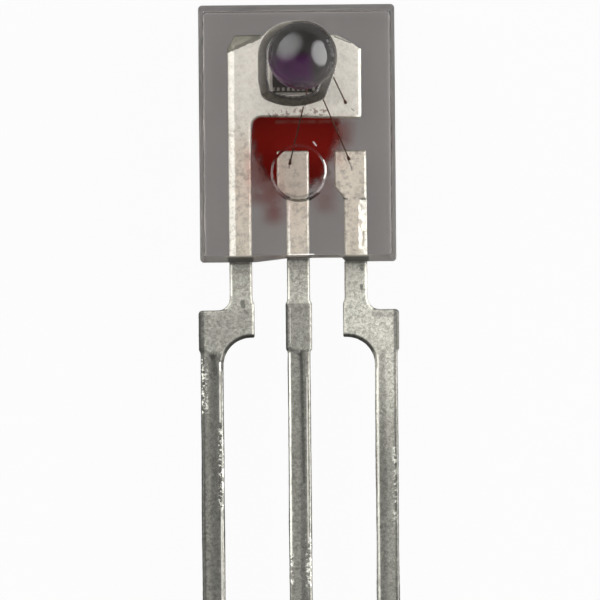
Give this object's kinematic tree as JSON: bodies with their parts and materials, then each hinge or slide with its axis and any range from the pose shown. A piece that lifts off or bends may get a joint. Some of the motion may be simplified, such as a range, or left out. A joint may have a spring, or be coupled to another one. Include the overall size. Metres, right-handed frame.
{
  "type": "side-looking photodetector",
  "caption": "Side-looking photodetector: a light-sensing chip on a lead frame, cast in clear grey epoxy with an integral lens and formed leads.",
  "frame": {"origin": "centre of the package's rear face", "axes": "+Z out through the lens, +Y from the lead ends towards the top of the package, +X across the leads"},
  "size_m": [0.0046, 0.0187, 0.0028],
  "materials": {
    "grey_epoxy": "smooth moulded, slightly cloudy",
    "plated_lead": "tin plated, dull and grainy",
    "silicon": "polished, coated",
    "silver_glue": "matte",
    "bond_gold": "drawn",
    "red_ink": "matte ink"
  },
  "bodies": {
    "root": {"package_body": "grey_epoxy", "left_lead": "plated_lead", "middle_lead": "plated_lead", "right_lead": "plated_lead", "sensor_die": "silicon", "die_glue": "silver_glue", "ground_wire": "bond_gold", "output_wire": "bond_gold", "supply_wire": "bond_gold", "ink_dot": "red_ink"}
  },
  "joints": []
}
